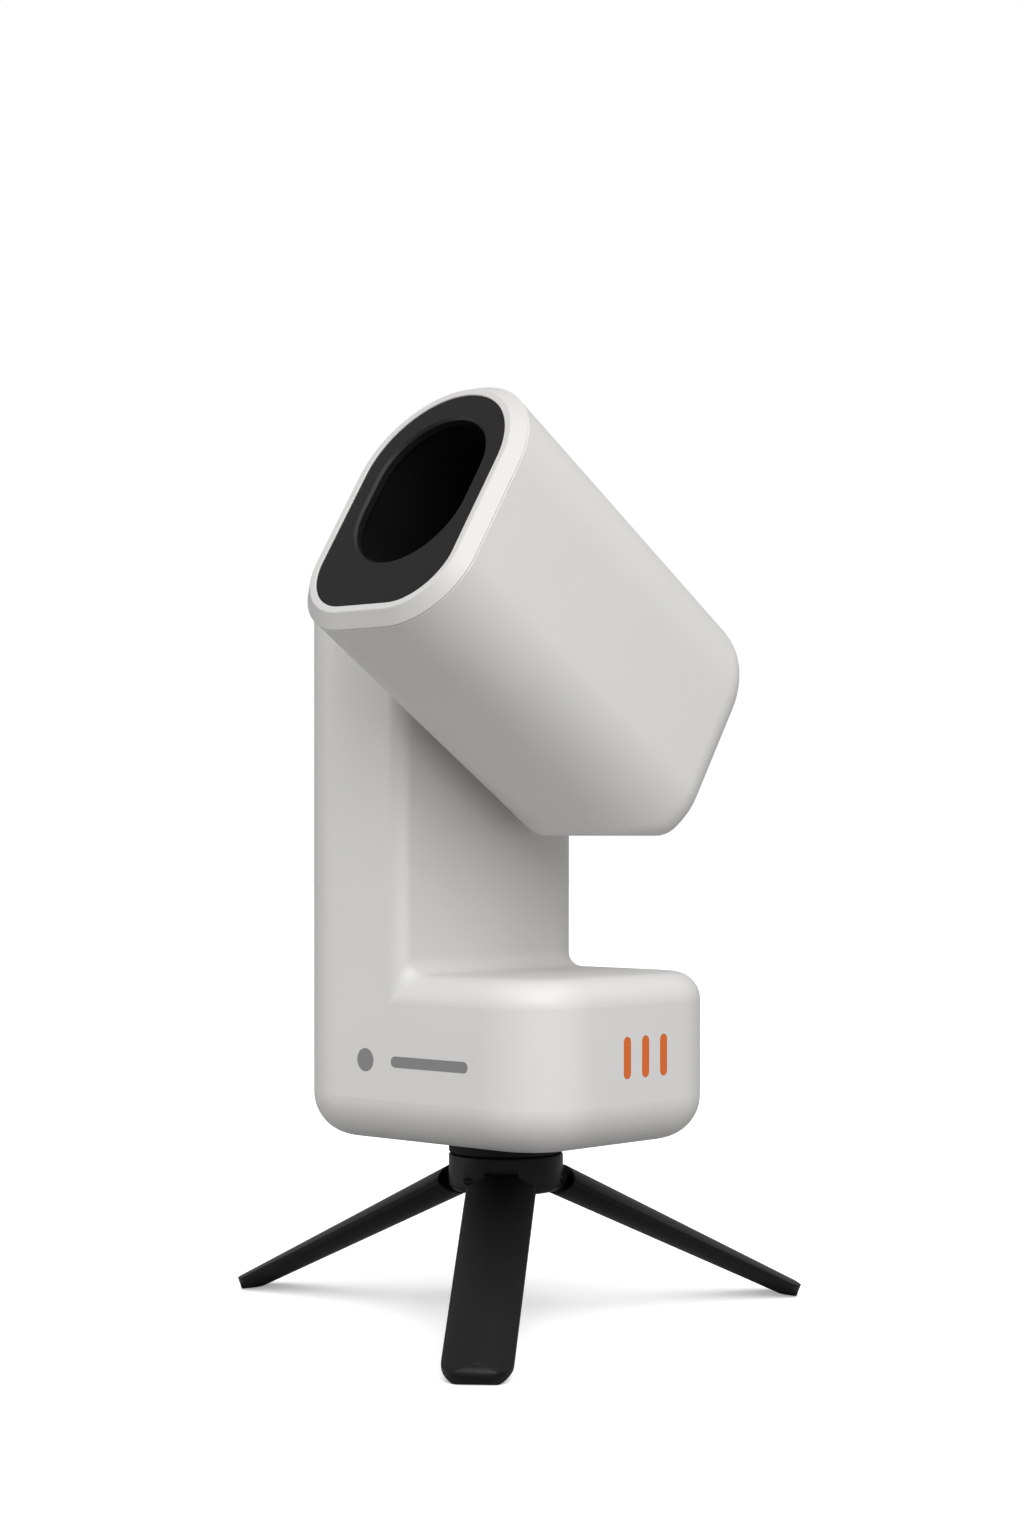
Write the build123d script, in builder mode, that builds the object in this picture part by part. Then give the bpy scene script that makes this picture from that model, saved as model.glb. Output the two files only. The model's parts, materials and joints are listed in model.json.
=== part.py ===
from build123d import *
import os
from math import acos, cos, pi, radians, sin, tan

# A compact motorised telescope on a folding table tripod.
# An L-shaped body turns on the tripod about Z, and a short flat-sided optical tube
# tilts on the body's arm about X.  Millimetres, +Z up.  The model is drawn about the
# turning axis, with the ground at z = 0, and is written out about its footprint's middle.

os.makedirs("parts", exist_ok=True)

# ---------------------------------------------------------------- driving sizes
FOOTPRINT_X, FOOTPRINT_Y = -20.1717, 3.3797   # middle of the footprint, from the turning axis
LIFT = 67.5                # ground to the underside of the turning body

BASE_W, BASE_D, BASE_H = 128, 106, 61
CORNER_R = 28              # outer upright corners
BOTTOM_R, TOP_R = 16, 10   # round of the underside and of the base's top edge
ARM_X = -2.6               # inner face of the arm
ARM_TOP, ARM_TOP_R = 210, 18
CREASE_R, BACK_R = 6, 24   # arm's inner upright edges, at its front and at its back
STEP_R = 6                 # inner corner between the arm and the base's top
WALL = 2.5
ARM_START = 25             # the arm's solid starts inside the base, above its round

PIVOT_Z = 166.0            # tilt axis above the underside
TUBE_X = 36.2              # middle of the tube, across
TILT = radians(57)         # tube axis from vertical
TUBE_W = 75.6
TUBE_CROWN, TUBE_FLOOR = 54.8, -48     # top and bottom of the tube's section, from the tilt axis
CROWN_R, FLOOR_R = 37.7, 27            # round of its top and of its lower corners
TUBE_FRONT, TUBE_REAR = 103.2, 47.2    # from the tilt axis to each end
REAR_R = 13
HEEL_Z, HEEL_R = 110.8, 10 # level cut across the tube's lowest corner, as it stands
BEZEL_L = 4.7
BAND = 4.2                 # sloping band of the bezel
LAND_R, LIP_R = 0.8, 0.35
SEAM_EDGE = 0.3            # chamfers that leave a fine line between shell and bezel
PLATE_IN = 6.7             # face plate, inside the tube's section by this all round
PLATE_T = 3.3
OPENING_W, OPENING_H, OPENING_R = 47.4, 61, 23.6
OPENING_V = 7.6            # middle of the opening, above the tilt axis
RIM = 0.9                  # chamfer round the opening
SINK = 0.45                # face plate below the bezel's lip
LENS_V = -2.2              # optical axis, below the tilt axis
LENS_R = 16
CELL_R = 20.5
LENS_DEPTH = 35            # lens cell behind the face plate
CAMERA_V = 26.5            # wide-angle camera, above the lens

SHAFT_R, SHAFT_BORE = 12, 8
RUN = 0.05                 # radial clearance of a running fit
GAP = 0.3                  # gap between pieces that move past each other

MODULE = 1.0
WHEEL_TEETH, PINION_TEETH = 60, 15
CENTRES = MODULE * (WHEEL_TEETH + PINION_TEETH) / 2 + 0.05
PRESSURE = radians(20)
TOOTH_FIT = 0.92           # tooth thickness as a share of the standard one

HUB_R = 21.15
LEG_PIVOT_R, LEG_PIVOT_Z = 17, -15.3
LEG_SLOPE = radians(25.5)
LEG_L = 117.5              # pin to tip
LEG_ROOT_W, LEG_TIP_W = 25.4, 24
LEG_ROOT_T, LEG_TIP_T = 11.8, 7
LEG_ROOT = 5.2             # blade of the leg starts this far from its pin
LEG_EDGE = 0.6             # half the height of the blade's thin side edges
LEG_TIP_R = 9
PAD_L = 16
LEG_BEARINGS = {"front": 38.25, "rear": 158.25, "left": 278.25}


# ---------------------------------------------------------------- frames and helpers
def deck(height):
    """A level plane, its height counted from the underside of the turning body."""
    return Plane.XY.offset(LIFT + height)


def save(piece, name):
    """Write one piece about the middle of the footprint."""
    part = piece.part.moved(Location((-FOOTPRINT_X, -FOOTPRINT_Y, 0)))
    part.label = name
    export_step(part, f"parts/{name}.step")


FRONT_FACE = Plane(origin=(0, -BASE_D / 2, LIFT), x_dir=(1, 0, 0), z_dir=(0, -1, 0))
REAR_FACE = Plane(origin=(0, BASE_D / 2, LIFT), x_dir=(-1, 0, 0), z_dir=(0, 1, 0))
RIGHT_FACE = Plane(origin=(BASE_W / 2, 0, LIFT), x_dir=(0, 1, 0), z_dir=(1, 0, 0))
LEFT_FACE = Plane(origin=(-BASE_W / 2, 0, LIFT), x_dir=(0, -1, 0), z_dir=(-1, 0, 0))
UNDERSIDE = Plane(origin=(0, 0, LIFT), x_dir=(1, 0, 0), z_dir=(0, 0, -1))
TILT_AXIS = Plane(origin=(0, 0, LIFT + PIVOT_Z), x_dir=(0, 1, 0), z_dir=(1, 0, 0))
TUBE = Plane(origin=(TUBE_X, 0, LIFT + PIVOT_Z), x_dir=(1, 0, 0),
             z_dir=(0, -sin(TILT), cos(TILT)))


def leg_plane(bearing):
    """A leg's own plane: origin on its pin, x down the leg, z out of its upper face."""
    a = radians(bearing)
    out = Vector(sin(a), -cos(a), 0)
    up = Vector(0, 0, 1)
    pin = out * LEG_PIVOT_R + up * (LIFT + LEG_PIVOT_Z)
    down_leg = out * cos(LEG_SLOPE) - up * sin(LEG_SLOPE)
    normal = out * sin(LEG_SLOPE) + up * cos(LEG_SLOPE)
    return Plane(origin=pin, x_dir=down_leg, z_dir=normal)


def tooth_outline(teeth):
    """One involute tooth on the +X axis, from inside the root circle."""
    pitch_r = MODULE * teeth / 2
    base_r = pitch_r * cos(PRESSURE)
    tip_r = pitch_r + 0.8 * MODULE
    root_r = pitch_r - 1.1 * MODULE
    half_at_base = TOOTH_FIT * pi / (2 * teeth) + tan(PRESSURE) - PRESSURE
    flank = [(root_r - 0.3, half_at_base)]
    steps = 4
    start_r = max(base_r, root_r)
    for i in range(steps + 1):
        r = start_r + (tip_r - start_r) * i / steps
        roll = acos(base_r / r)
        flank.append((r, half_at_base - tan(roll) + roll))
    upper = [(r * cos(a), r * sin(a)) for r, a in flank]
    lower = [(x, -y) for x, y in reversed(upper)]
    return upper + lower


def gear_sketch(teeth, bore, phase):
    """A spur gear's outline; phase turns its first tooth away from +X, in degrees."""
    outline = tooth_outline(teeth)
    with BuildSketch() as gear:
        Circle(MODULE * teeth / 2 - 1.1 * MODULE)
        with PolarLocations(0, teeth, start_angle=phase):
            Polygon(*outline, align=None)
        if bore:
            Circle(bore, mode=Mode.SUBTRACT)
    return gear.sketch


# ---------------------------------------------------------------- turning body: housing
def base_form(inset):
    """The base block, moved in by inset on every side."""
    with BuildPart() as block:
        with BuildSketch(deck(inset)):
            RectangleRounded(BASE_W - 2 * inset, BASE_D - 2 * inset, CORNER_R - inset)
        extrude(amount=BASE_H - 2 * inset)
        fillet(block.faces().sort_by(Axis.Z)[-1].edges(), TOP_R - inset)
        fillet(block.faces().sort_by(Axis.Z)[0].edges(), BOTTOM_R - inset)
    return block.part


def arm_form(inset):
    """The upright arm, moved in by inset on every side."""
    left, right = -BASE_W / 2 + inset, ARM_X - inset
    half_d = BASE_D / 2 - inset
    with BuildPart() as arm:
        with BuildSketch(deck(ARM_START)) as outline:
            with Locations(((left + right) / 2, 0)):
                Rectangle(right - left, 2 * half_d)
            fillet(outline.vertices().group_by(Axis.X)[0], CORNER_R - inset)
            fillet(outline.vertices().filter_by_position(Axis.Y, half_d - 1, half_d + 1)
                   .filter_by_position(Axis.X, right - 1, right + 1), BACK_R - inset)
        extrude(amount=ARM_TOP - inset - ARM_START)
        fillet(arm.faces().sort_by(Axis.Z)[-1].edges(), ARM_TOP_R - inset)
        upright = arm.edges().filter_by(Axis.Z).filter_by_position(Axis.X, right - 0.1, right + 0.1)
        fillet(upright.sort_by(Axis.Y)[0], CREASE_R - 0.6 * inset)
    return arm.part


PIN_R = 1.5                # pins, rails and screw shanks
SCREW_HOLE_R = PIN_R + 0.1
SCREW_HEAD_R, HEAD_FIT = 2.7, 0.2
SIDE_W, SIDE_H, SIDE_Z, SIDE_R = 46, 150, 110, 12
COVER_W, COVER_D, COVER_R = 92, 70, 10
COVER_T = 3
COVER_FIT = 0.2            # gap round a cover
LEDGE_T, LEDGE_UNDER = 2.2, 10         # ledge behind the side cover, and how far it reaches under
SEAT_HOLE_R = 32
BLOCK, BLOCK_H = 14, 4     # corner blocks of the bottom cover
BLOCK_X, BLOCK_Y = 42, 32
BOSS_W, BOSS_D, BOSS_H = 16, 9, 9      # bosses of the chassis plate
BOSS_X, BOSS_Y = 48, 21
SIDE_SCREWS = [(x, SIDE_Z + y) for x in (-18, 18) for y in (-69, 69)]
COVER_SCREWS = [(x, y) for x in (-40, 40) for y in (-29, 29)]
CHASSIS_SCREWS = [(x, y) for x in (-43, 43) for y in (-21, 21)]
SIDE_SINK, COVER_SINK = 1.4, 1.6       # counterbores of their screws
REAR_X = 31.3              # column of port, button and light on the arm's flat back
PORT_Z, PORT_W, PORT_H = 84, 7, 13
BUTTON_Z, BUTTON_R = 106, 4.2
LIGHT_Z, LIGHT_R = 119, 1.5
MARK_DEPTH = 0.6
FRONT_DOT, FRONT_BAR = (-20, 30), (12, 30)
SIDE_BARS = [(-6, 32.5), (4, 32.5), (14, 32.5)]


def front_marks(grow):
    """A dot and a bar on the base's front."""
    with BuildSketch(FRONT_FACE) as marks:
        with Locations(FRONT_DOT):
            Circle(4.2 + grow)
        with Locations(FRONT_BAR):
            SlotOverall(38 + 2 * grow, 4 + 2 * grow)
    return marks.sketch


def side_marks(grow):
    """Three upright bars on the base's right side."""
    with BuildSketch(RIGHT_FACE) as marks:
        with Locations(*SIDE_BARS):
            SlotOverall(15 + 2 * grow, 4 + 2 * grow, rotation=90)
    return marks.sketch


with BuildPart() as body_housing:
    add(base_form(0))
    add(arm_form(0))
    near_step = body_housing.edges().filter_by_position(Axis.X, ARM_X - BACK_R, ARM_X + 0.1)
    fillet(near_step.filter_by_position(Axis.Z, LIFT + BASE_H - TOP_R, LIFT + BASE_H + 0.1), STEP_R)
    add(base_form(WALL), mode=Mode.SUBTRACT)
    add(arm_form(WALL), mode=Mode.SUBTRACT)
    # opening and inner ledge for the side cover
    with BuildSketch(LEFT_FACE.offset(-WALL - 2)):
        with Locations((0, SIDE_Z)):
            RectangleRounded(SIDE_W + 5, SIDE_H + 6, SIDE_R + 2)
            RectangleRounded(SIDE_W - 16, SIDE_H - 2 * LEDGE_UNDER, SIDE_R - 4, mode=Mode.SUBTRACT)
    extrude(amount=LEDGE_T)
    with BuildSketch(LEFT_FACE):
        with Locations((0, SIDE_Z)):
            RectangleRounded(SIDE_W + 2 * COVER_FIT, SIDE_H + 2 * COVER_FIT, SIDE_R + COVER_FIT)
    extrude(amount=-WALL, mode=Mode.SUBTRACT)
    with BuildSketch(LEFT_FACE):
        with Locations(*SIDE_SCREWS):
            Circle(PIN_R)
    extrude(amount=-WALL - LEDGE_T, mode=Mode.SUBTRACT)
    # opening for the bottom cover, four corner blocks that hold it, and the chassis bosses
    with BuildSketch(deck(COVER_T)):
        with GridLocations(2 * BLOCK_X, 2 * BLOCK_Y, 2, 2):
            Rectangle(BLOCK, BLOCK)
    extrude(amount=BLOCK_H)
    with BuildSketch(deck(COVER_T)):
        with GridLocations(2 * BOSS_X, 2 * BOSS_Y, 2, 2):
            Rectangle(BOSS_W, BOSS_D)
    extrude(amount=BOSS_H)
    with BuildSketch(deck(0)):
        RectangleRounded(COVER_W + 2 * COVER_FIT, COVER_D + 2 * COVER_FIT, COVER_R + COVER_FIT)
    extrude(amount=COVER_T, mode=Mode.SUBTRACT)
    with BuildSketch(deck(COVER_T)):
        with Locations(*COVER_SCREWS):
            Circle(PIN_R)
    extrude(amount=BLOCK_H - 0.5, mode=Mode.SUBTRACT)
    with BuildSketch(deck(COVER_T + BOSS_H)):
        with Locations(*CHASSIS_SCREWS):
            Circle(PIN_R)
    extrude(amount=-6, mode=Mode.SUBTRACT)
    # tilt shaft, port, button and status light
    with BuildSketch(TILT_AXIS.offset(ARM_X)):
        Circle(SHAFT_R + 0.5)
    extrude(amount=-WALL - 2, mode=Mode.SUBTRACT)
    with BuildSketch(REAR_FACE):
        with Locations((REAR_X, PORT_Z)):
            RectangleRounded(PORT_W, PORT_H, 2.5)
        with Locations((REAR_X, BUTTON_Z)):
            Circle(BUTTON_R + 0.35)
        with Locations((REAR_X, LIGHT_Z)):
            Circle(LIGHT_R)
    extrude(amount=-WALL - 1, mode=Mode.SUBTRACT)
    # shallow seats of the inlaid marks
    extrude(front_marks(0), amount=-MARK_DEPTH, mode=Mode.SUBTRACT)
    extrude(side_marks(0), amount=-MARK_DEPTH, mode=Mode.SUBTRACT)
save(body_housing, "body_housing")

with BuildPart() as side_cover:
    with BuildSketch(LEFT_FACE):
        with Locations((0, SIDE_Z)):
            RectangleRounded(SIDE_W, SIDE_H, SIDE_R)
    extrude(amount=-WALL)
    with Locations(LEFT_FACE):
        with Locations(*SIDE_SCREWS):
            CounterBoreHole(SCREW_HOLE_R, SCREW_HEAD_R + HEAD_FIT, SIDE_SINK)
save(side_cover, "side_cover")

with BuildPart() as bottom_cover:
    with BuildSketch(deck(0)):
        RectangleRounded(COVER_W, COVER_D, COVER_R)
        Circle(SEAT_HOLE_R, mode=Mode.SUBTRACT)
    extrude(amount=COVER_T)
    with Locations(UNDERSIDE):
        with Locations(*COVER_SCREWS):
            CounterBoreHole(SCREW_HOLE_R, SCREW_HEAD_R + HEAD_FIT, COVER_SINK)
save(bottom_cover, "bottom_cover")


def screws(planes, head_t, length):
    """Hexagon-socket screws, one on each plane, heads up and shanks down."""
    with BuildPart() as group:
        for plane in planes:
            with BuildSketch(plane):
                Circle(SCREW_HEAD_R)
            extrude(amount=head_t)
            with BuildSketch(plane):
                Circle(PIN_R)
            extrude(amount=-length)
            with BuildSketch(plane.offset(head_t)):
                RegularPolygon(SCREW_HEAD_R / 2, 6)
            extrude(amount=-head_t * 0.6, mode=Mode.SUBTRACT)
    return group


def spots(plane, points, height):
    """Copies of a plane at points on it, raised by height."""
    level = plane.offset(height)
    return [Plane(origin=level.from_local_coords((x, y, 0)), x_dir=level.x_dir, z_dir=level.z_dir)
            for x, y in points]


side_cover_screws = screws(spots(LEFT_FACE, SIDE_SCREWS, -SIDE_SINK), 1.2, 2.9)
save(side_cover_screws, "side_cover_screws")
bottom_cover_screws = screws(spots(UNDERSIDE, COVER_SCREWS, -COVER_SINK), 1.3, 4.5)
save(bottom_cover_screws, "bottom_cover_screws")

with BuildPart() as front_mark:
    extrude(front_marks(-0.05), amount=-MARK_DEPTH)
save(front_mark, "front_mark")

with BuildPart() as side_mark:
    extrude(side_marks(-0.05), amount=-MARK_DEPTH)
save(side_mark, "side_mark")

# ---------------------------------------------------------------- turning body: inside
SEAT_R, BOSS_R, BUSH_R = 31, 14, 18
CHASSIS_Z, CHASSIS_T = COVER_T + BOSS_H, 3
CHASSIS_W, CHASSIS_D, CHASSIS_R = 96, 74, 12
BUSH_BOTTOM, BUSH_FLANGE, BUSH_RISE = 9.6, 2, 7
MOTOR_R, MOTOR_H = 12, 22
MOTOR_SHAFT_R = 2
MOTOR_EDGE = 1
MOTOR_BORE_L, SHAFT_L = 12, 17
PINION_Z, PINION_T = 3.6, 5
pinion_spot = (CENTRES * cos(radians(-45)), CENTRES * sin(radians(-45)))

with BuildPart() as chassis_plate:
    with BuildSketch(deck(CHASSIS_Z)):
        RectangleRounded(CHASSIS_W, CHASSIS_D, CHASSIS_R)
        Circle(BUSH_R, mode=Mode.SUBTRACT)
        with Locations(pinion_spot):
            Circle(MOTOR_SHAFT_R + 1, mode=Mode.SUBTRACT)
        with Locations(*CHASSIS_SCREWS):
            Circle(SCREW_HOLE_R, mode=Mode.SUBTRACT)
    extrude(amount=CHASSIS_T)
save(chassis_plate, "chassis_plate")

chassis_screws = screws(spots(Plane.XY, CHASSIS_SCREWS, LIFT + CHASSIS_Z + CHASSIS_T), 1.6, 7)
save(chassis_screws, "chassis_screws")

with BuildPart() as azimuth_bush:
    with BuildSketch(deck(BUSH_BOTTOM)):
        Circle(BUSH_R + BUSH_FLANGE)
        Circle(BOSS_R + RUN, mode=Mode.SUBTRACT)
    extrude(amount=CHASSIS_Z - BUSH_BOTTOM)
    with BuildSketch(deck(CHASSIS_Z)):
        Circle(BUSH_R)
        Circle(BOSS_R + RUN, mode=Mode.SUBTRACT)
    extrude(amount=BUSH_RISE)
save(azimuth_bush, "azimuth_bush")

with BuildPart() as azimuth_motor:
    with BuildSketch(deck(CHASSIS_Z + CHASSIS_T)):
        with Locations(pinion_spot):
            Circle(MOTOR_R)
    extrude(amount=MOTOR_H)
    chamfer(azimuth_motor.faces().sort_by(Axis.Z)[-1].edges(), MOTOR_EDGE)
    with BuildSketch(deck(CHASSIS_Z + CHASSIS_T)):
        with Locations(pinion_spot):
            Circle(MOTOR_SHAFT_R + RUN)
    extrude(amount=MOTOR_BORE_L, mode=Mode.SUBTRACT)
save(azimuth_motor, "azimuth_motor")

with BuildPart() as azimuth_pinion:
    with BuildSketch(deck(PINION_Z)):
        with Locations(pinion_spot):
            add(gear_sketch(PINION_TEETH, 0, 135 + 180 / PINION_TEETH))
    extrude(amount=PINION_T)
    with BuildSketch(deck(PINION_Z + PINION_T)):
        with Locations(pinion_spot):
            Circle(MOTOR_SHAFT_R)
    extrude(amount=SHAFT_L)
save(azimuth_pinion, "azimuth_pinion")

CELL_D, CELL_L, CELL_ROWS = 18.2, 64, (1.5, 20.4, 39.3)
TRAY_Z, TRAY_T = 24, 1.5
TRAY_W, TRAY_D, TRAY_AT = 67, 57, (-7.5, 20.3)
TRAY_LEGS, TRAY_LEG = [(-37, -5), (-30, 33), (22, 33), (23, -5)], 5
CELL_MIDDLE = -7
with BuildPart() as battery_tray:
    with BuildSketch(deck(TRAY_Z)):
        with Locations(TRAY_AT):
            Rectangle(TRAY_W, TRAY_D)
    extrude(amount=TRAY_T)
    with BuildSketch(deck(CHASSIS_Z + CHASSIS_T)):
        with Locations(*TRAY_LEGS):
            Rectangle(TRAY_LEG, TRAY_LEG)
    extrude(amount=TRAY_Z - CHASSIS_Z - CHASSIS_T)
save(battery_tray, "battery_tray")

with BuildPart() as battery_cells:
    with BuildSketch(Plane.YZ.offset(CELL_MIDDLE - CELL_L / 2)):
        for row in CELL_ROWS:
            with Locations((row, LIFT + TRAY_Z + TRAY_T + CELL_D / 2)):
                Circle(CELL_D / 2)
    extrude(amount=CELL_L)
save(battery_cells, "battery_cells")

SHAFT_END = -38.5
GEAR_X, GEAR_T = -24, 6
BRACKET_X1, BRACKET_X2, BRACKET_T = -33, -9, 3
BRACKET_W, BRACKET_H, BRACKET_R, BRACKET_Z = 58, 74, 6, -17
BRIDGE_W, BRIDGE_Z = 50, -52.5         # floor that joins the bracket's two plates
BEARING_R = BUSH_R - 2
TILT_PINION_Z = -CENTRES
TILT_MOTOR_R, TILT_MOTOR_L, TILT_BORE_L, TILT_SHAFT_L = 11, 20, 14, 21
with BuildPart() as altitude_bracket:
    for x, thick in ((BRACKET_X1, BRACKET_T), (BRACKET_X2, ARM_X - WALL - BRACKET_X2)):
        with BuildSketch(TILT_AXIS.offset(x)):
            with Locations((0, BRACKET_Z)):
                RectangleRounded(BRACKET_W, BRACKET_H, BRACKET_R)
            Circle(BEARING_R, mode=Mode.SUBTRACT)
            with Locations((0, TILT_PINION_Z)):
                Circle(MOTOR_SHAFT_R + 1, mode=Mode.SUBTRACT)
        extrude(amount=thick)
    with BuildSketch(TILT_AXIS.offset(BRACKET_X1)):
        with Locations((0, BRIDGE_Z)):
            Rectangle(BRIDGE_W, BRACKET_T)
    extrude(amount=ARM_X - WALL - BRACKET_X1)
save(altitude_bracket, "altitude_bracket")

with BuildPart() as altitude_bearings:
    for x, width in ((-35, 5.5), (-10.5, 5)):
        with BuildSketch(TILT_AXIS.offset(x)):
            Circle(BEARING_R)
            Circle(SHAFT_R + RUN, mode=Mode.SUBTRACT)
        extrude(amount=width)
save(altitude_bearings, "altitude_bearings")

with BuildPart() as altitude_motor:
    with BuildSketch(TILT_AXIS.offset(BRACKET_X1)):
        with Locations((0, TILT_PINION_Z)):
            Circle(TILT_MOTOR_R)
    extrude(amount=-TILT_MOTOR_L)
    chamfer(altitude_motor.faces().sort_by(Axis.X)[0].edges(), MOTOR_EDGE)
    with BuildSketch(TILT_AXIS.offset(BRACKET_X1)):
        with Locations((0, TILT_PINION_Z)):
            Circle(MOTOR_SHAFT_R + RUN)
    extrude(amount=-TILT_BORE_L, mode=Mode.SUBTRACT)
save(altitude_motor, "altitude_motor")

with BuildPart() as altitude_pinion:
    with BuildSketch(TILT_AXIS.offset(GEAR_X - 0.5)):
        with Locations((0, TILT_PINION_Z)):
            add(gear_sketch(PINION_TEETH, 0, 90 + 180 / PINION_TEETH))
    extrude(amount=GEAR_T + 1)
    with BuildSketch(TILT_AXIS.offset(GEAR_X - 0.5)):
        with Locations((0, TILT_PINION_Z)):
            Circle(MOTOR_SHAFT_R)
    extrude(amount=-TILT_SHAFT_L)
save(altitude_pinion, "altitude_pinion")

BOARD_X, BOARD_T, CHIP_T = -57.5, 1.6, 1.8
BOARD_W, BOARD_H, BOARD_Z = 66, 100, -40
with BuildPart() as main_board:
    with BuildSketch(TILT_AXIS.offset(BOARD_X)):
        with Locations((0, BOARD_Z)):
            Rectangle(BOARD_W, BOARD_H)
    extrude(amount=BOARD_T)
    with BuildSketch(TILT_AXIS.offset(BOARD_X + BOARD_T)):
        with Locations((-14, -68)):
            Rectangle(16, 16)
        with Locations((12, -72)):
            Rectangle(12, 20)
        with Locations((20, -24), (20, -8), (-22, -14)):
            Rectangle(8, 10)
    extrude(amount=CHIP_T)
save(main_board, "main_board")

BOARD_IN = 15              # back of the small board behind port and button, from the rear face
REAR_BOARD = REAR_FACE.offset(-BOARD_IN)
REAR_BOARD_FRONT = REAR_BOARD.offset(BOARD_T)
REAR_BOARD_W, REAR_BOARD_H = 20, 48
SWITCH, SWITCH_H = 6, 6
SHELL_W, SHELL_H, SHELL_R, SHELL_L = 3.26, 8.94, 1.6, 8.6      # USB-C receptacle
SHELL_T, TONGUE_GAP, BLADE_T, BLADE_H = 0.3, 6.2, 0.7, 6.6

with BuildPart() as rear_board:
    with BuildSketch(REAR_BOARD):
        with Locations((REAR_X, (PORT_Z + LIGHT_Z) / 2)):
            Rectangle(REAR_BOARD_W, REAR_BOARD_H)
    extrude(amount=BOARD_T)
    with BuildSketch(REAR_BOARD_FRONT):
        with Locations((REAR_X, BUTTON_Z)):
            Rectangle(SWITCH, SWITCH)
    extrude(amount=SWITCH_H)
save(rear_board, "rear_board")

with BuildPart() as usb_port:
    with BuildSketch(REAR_BOARD_FRONT):
        with Locations((REAR_X, PORT_Z)):
            RectangleRounded(SHELL_W, SHELL_H, SHELL_R)
    extrude(amount=SHELL_L)
    with BuildSketch(REAR_BOARD_FRONT.offset(SHELL_L)):
        with Locations((REAR_X, PORT_Z)):
            RectangleRounded(SHELL_W - 2 * SHELL_T, SHELL_H - 2 * SHELL_T, SHELL_R - SHELL_T)
            Rectangle(BLADE_T, BLADE_H, mode=Mode.SUBTRACT)
    extrude(amount=-TONGUE_GAP, mode=Mode.SUBTRACT)
save(usb_port, "usb_port")

with BuildPart() as status_light:
    with BuildSketch(REAR_BOARD_FRONT):
        with Locations((REAR_X, LIGHT_Z)):
            Circle(LIGHT_R)
    extrude(amount=BOARD_IN - BOARD_T)
save(status_light, "status_light")

CAP_OUT, CAP_L, CAP_EDGE = 0.6, 6, 0.6
FLANGE, FLANGE_T = 1.4, 1.4            # keeps the button in

with BuildPart() as power_button:
    with BuildSketch(REAR_FACE.offset(CAP_OUT)):
        with Locations((REAR_X, BUTTON_Z)):
            Circle(BUTTON_R)
    extrude(amount=-CAP_L)
    fillet(power_button.faces().sort_by(Axis.Y)[-1].edges(), CAP_EDGE)
    with BuildSketch(REAR_FACE.offset(-WALL - GAP)):
        with Locations((REAR_X, BUTTON_Z)):
            Circle(BUTTON_R + FLANGE)
    extrude(amount=-FLANGE_T)
save(power_button, "power_button")

# ---------------------------------------------------------------- stand: seat and tripod head
SEAT_BOTTOM, SEAT_TOP = -1, 3
BOSS_TOP, NECK_TOP, RING_STEP, RING_T = 20.3, 23, 3, 1.7
THREAD_R, THREAD_L = 4.7625, 13        # 3/8 inch
AZIMUTH_GEAR_T = 6

with BuildPart() as azimuth_plate:
    with BuildSketch(deck(SEAT_BOTTOM)):
        Circle(SEAT_R)
    extrude(amount=SEAT_TOP - SEAT_BOTTOM)
    with BuildSketch(deck(SEAT_TOP)):
        Circle(BOSS_R)
    extrude(amount=BOSS_TOP - SEAT_TOP)
    with BuildSketch(deck(BOSS_TOP)):
        Circle(BOSS_R - RING_STEP)
    extrude(amount=NECK_TOP - BOSS_TOP)
    with BuildSketch(deck(SEAT_BOTTOM)):
        Circle(THREAD_R)
    extrude(amount=THREAD_L, mode=Mode.SUBTRACT)
save(azimuth_plate, "azimuth_plate")

with BuildPart() as azimuth_gear:
    with BuildSketch(deck(SEAT_TOP)):
        add(gear_sketch(WHEEL_TEETH, BOSS_R, -45))
    extrude(amount=AZIMUTH_GEAR_T)
save(azimuth_gear, "azimuth_gear")

with BuildPart() as retaining_ring:
    with BuildSketch(deck(BOSS_TOP)):
        Circle(BOSS_R + RING_STEP)
        Circle(BOSS_R - RING_STEP, mode=Mode.SUBTRACT)
    extrude(amount=RING_T)
save(retaining_ring, "retaining_ring")

DISC_Z, DISC_T = -6, 5
HUB_TOP, HUB_BOTTOM, HUB_ROUND = -6.3, -20, 3
STUD_HOLE_R, HEAD_HOLE_R, HEAD_RECESS = 4.75, 7.5, 6
DISC_EDGE = 0.8
KNUCKLE_R, TONGUE_W, TONGUE_T = 4.2, 11.8, 7
SLOT_R = KNUCKLE_R + 0.7   # room round the knuckle of each leg
SLOT_W = TONGUE_W + 0.4
SLOT_OUT = 9               # slots run out of the hub's side and bottom
SLOT_RISE = 2.6            # top of their mouth, above the pin
PIN_HALF = 10.3

with BuildPart() as platform_disc:
    with BuildSketch(deck(DISC_Z)):
        Circle(HUB_R)
    extrude(amount=DISC_T)
    fillet(platform_disc.edges().filter_by(GeomType.CIRCLE), DISC_EDGE)
    with BuildSketch(deck(HUB_TOP)):
        Circle(HUB_R - 2)
    extrude(amount=DISC_Z - HUB_TOP + 0.1)
    with BuildSketch(deck(HUB_TOP)):
        Circle(STUD_HOLE_R)
    extrude(amount=DISC_T + 1, mode=Mode.SUBTRACT)
save(platform_disc, "platform_disc")


def hinge_plane(bearing):
    """Upright plane through a leg's middle: origin on its pin, x outwards, y up."""
    leg = leg_plane(bearing)
    out = Vector(sin(radians(bearing)), -cos(radians(bearing)), 0)
    return Plane(origin=leg.origin, x_dir=out, z_dir=-leg.y_dir)


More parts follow.
